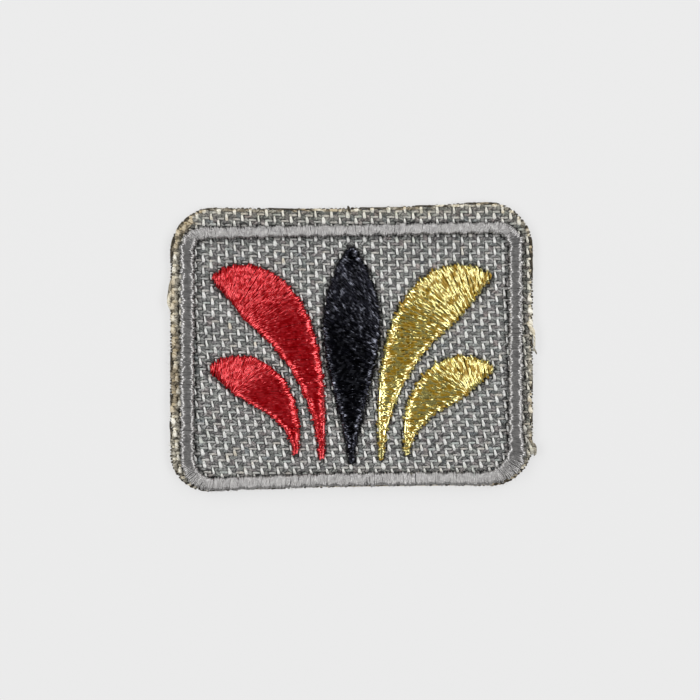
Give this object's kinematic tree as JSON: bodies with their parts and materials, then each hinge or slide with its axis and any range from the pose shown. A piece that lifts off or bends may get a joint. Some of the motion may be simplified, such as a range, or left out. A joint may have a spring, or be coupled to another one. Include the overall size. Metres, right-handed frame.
{
  "type": "logo patch",
  "caption": "Rectangular sew-on cloth patch with rounded corners, a satin-stitched border and a fan of satin-stitched leaves.",
  "frame": {"origin": "middle of the patch's box, on its back face, which lies on the surface", "axes": "+X to the patch's right as it is read, +Y to its top edge, +Z out of its embroidered face"},
  "size_m": [0.056, 0.0446, 0.002],
  "materials": {
    "wool_twill": "matte wool, grey and off-white colour-and-weave twill",
    "border_thread": "light grey rayon satin stitch",
    "navy_thread": "glossy navy rayon satin stitch",
    "red_thread": "glossy red rayon satin stitch",
    "gold_thread": "metallic gold satin stitch"
  },
  "bodies": {
    "root": {"ground_cloth": "wool_twill", "border_stitching": "border_thread", "navy_leaf": "navy_thread", "red_upper_leaf": "red_thread", "red_lower_leaf": "red_thread", "gold_upper_leaf": "gold_thread", "gold_lower_leaf": "gold_thread"}
  },
  "joints": []
}
